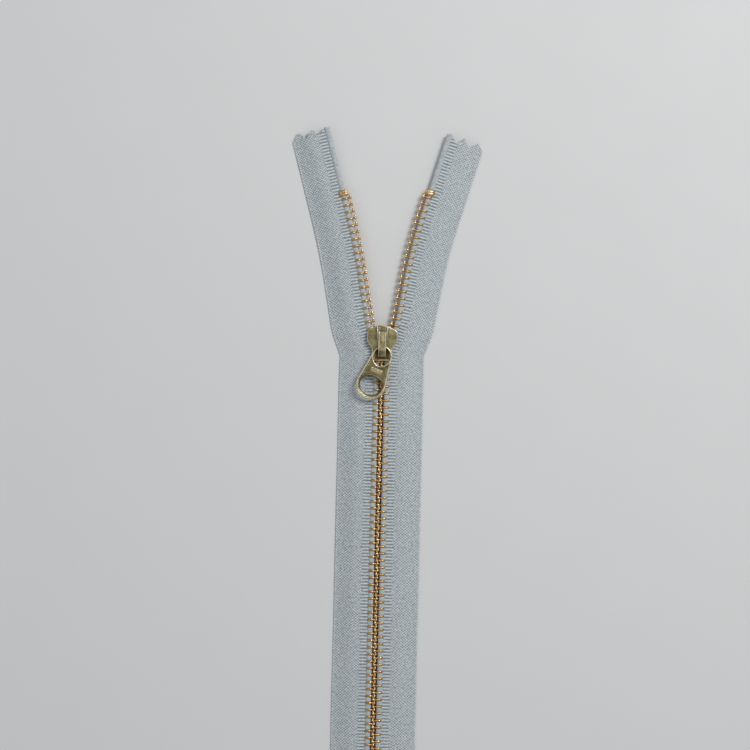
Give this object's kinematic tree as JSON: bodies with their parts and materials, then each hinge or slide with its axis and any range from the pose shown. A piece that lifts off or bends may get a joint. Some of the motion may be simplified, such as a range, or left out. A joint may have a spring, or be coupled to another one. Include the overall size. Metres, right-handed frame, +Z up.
{
  "type": "metal-tooth zipper",
  "caption": "Closed-end zipper with metal teeth on woven tapes, a locking slider part-way down and a teardrop pull tab with a grip hole",
  "frame": {"origin": "on the surface the zipper lies on, below the middle of its overall length, on the line where the two rows of teeth meet", "axes": "+X across the tapes to the right, +Y along the chain towards the open end with the top stops, +Z up out of the front face"},
  "size_m": [0.0673, 0.2732, 0.0067],
  "materials": {
    "tape": "pale grey woven twill",
    "cord": "pale grey woven bead",
    "teeth": "polished golden brass",
    "stops": "polished golden brass",
    "slider": "antique brass, edges rubbed bright",
    "pull": "antique brass, edges rubbed bright"
  },
  "bodies": {
    "bottom_end": {"bottom_stop": "stops", "left_tape_tail": "tape", "right_tape_tail": "tape"},
    "left_lower": {"left_tape_lower": "tape", "left_chain_lower": "teeth"},
    "left_upper": {"left_tape_upper": "tape", "left_cord_upper": "cord", "left_top_stop": "stops", "left_tooth_01": "teeth", "left_tooth_02": "teeth", "left_tooth_03": "teeth", "left_tooth_04": "teeth", "left_tooth_05": "teeth", "left_tooth_06": "teeth", "left_tooth_07": "teeth", "left_tooth_08": "teeth", "left_tooth_09": "teeth", "left_tooth_10": "teeth", "left_tooth_11": "teeth", "left_tooth_12": "teeth", "left_tooth_13": "teeth", "left_tooth_14": "teeth", "left_tooth_15": "teeth", "left_tooth_16": "teeth", "left_tooth_17": "teeth", "left_tooth_18": "teeth", "left_tooth_19": "teeth", "left_tooth_20": "teeth"},
    "right_lower": {"right_tape_lower": "tape", "right_chain_lower": "teeth"},
    "right_upper": {"right_tape_upper": "tape", "right_cord_upper": "cord", "right_top_stop": "stops", "right_tooth_01": "teeth", "right_tooth_02": "teeth", "right_tooth_03": "teeth", "right_tooth_04": "teeth", "right_tooth_05": "teeth", "right_tooth_06": "teeth", "right_tooth_07": "teeth", "right_tooth_08": "teeth", "right_tooth_09": "teeth", "right_tooth_10": "teeth", "right_tooth_11": "teeth", "right_tooth_12": "teeth", "right_tooth_13": "teeth", "right_tooth_14": "teeth", "right_tooth_15": "teeth", "right_tooth_16": "teeth", "right_tooth_17": "teeth", "right_tooth_18": "teeth", "right_tooth_19": "teeth", "right_tooth_20": "teeth"},
    "slider": {"slider_body": "slider", "slider_cap": "slider"},
    "lock": {"locking_pin": "slider"},
    "pull": {"pull_tab": "pull"}
  },
  "joints": [
    {"name": "slider_travel", "type": "slide", "parent": "bottom_end", "child": "slider", "axis": [0, 1, 0], "range_m": [-0.1705, 0], "deforming": ["left_tape_tail", "right_tape_tail", "left_tape_lower", "right_tape_lower", "left_chain_lower", "right_chain_lower", "left_tape_upper", "right_tape_upper", "left_cord_upper", "right_cord_upper"]},
    {"name": "left_chain_open", "type": "hinge", "parent": "bottom_end", "child": "left_lower", "pos_m": [-0.00145, -0.11215, 0.0023], "axis": [0, 0, 1], "range_deg": [0, 9]},
    {"name": "right_chain_open", "type": "hinge", "parent": "bottom_end", "child": "right_lower", "pos_m": [0.00145, -0.11215, 0.0023], "axis": [0, 0, 1], "range_deg": [-9, 0]},
    {"name": "left_half_straighten", "type": "hinge", "parent": "left_lower", "child": "left_upper", "pos_m": [-0.00145, 0.05435, 0.0023], "axis": [0, 0, 1], "range_deg": [-10, 0]},
    {"name": "right_half_straighten", "type": "hinge", "parent": "right_lower", "child": "right_upper", "pos_m": [0.00145, 0.05435, 0.0023], "axis": [0, 0, 1], "range_deg": [0, 10]},
    {"name": "pull_flip", "type": "hinge", "parent": "slider", "child": "pull", "pos_m": [0, 0.05945, 0.00525], "axis": [-1, 0, 0], "range_deg": [0, 145]},
    {"name": "lock_lift", "type": "slide", "parent": "slider", "child": "lock", "axis": [0, 0, 1], "range_m": [0, 0.0007]}
  ],
  "couplings": [
    {"joint": "left_chain_open", "follows": "slider_travel", "rad_per_m": -0.92},
    {"joint": "right_chain_open", "follows": "slider_travel", "rad_per_m": 0.92},
    {"joint": "left_half_straighten", "follows": "slider_travel", "rad_per_m": 1.02},
    {"joint": "right_half_straighten", "follows": "slider_travel", "rad_per_m": -1.02},
    {"joint": "lock_lift", "follows": "pull_flip", "m_per_rad": 0.000275}
  ]
}
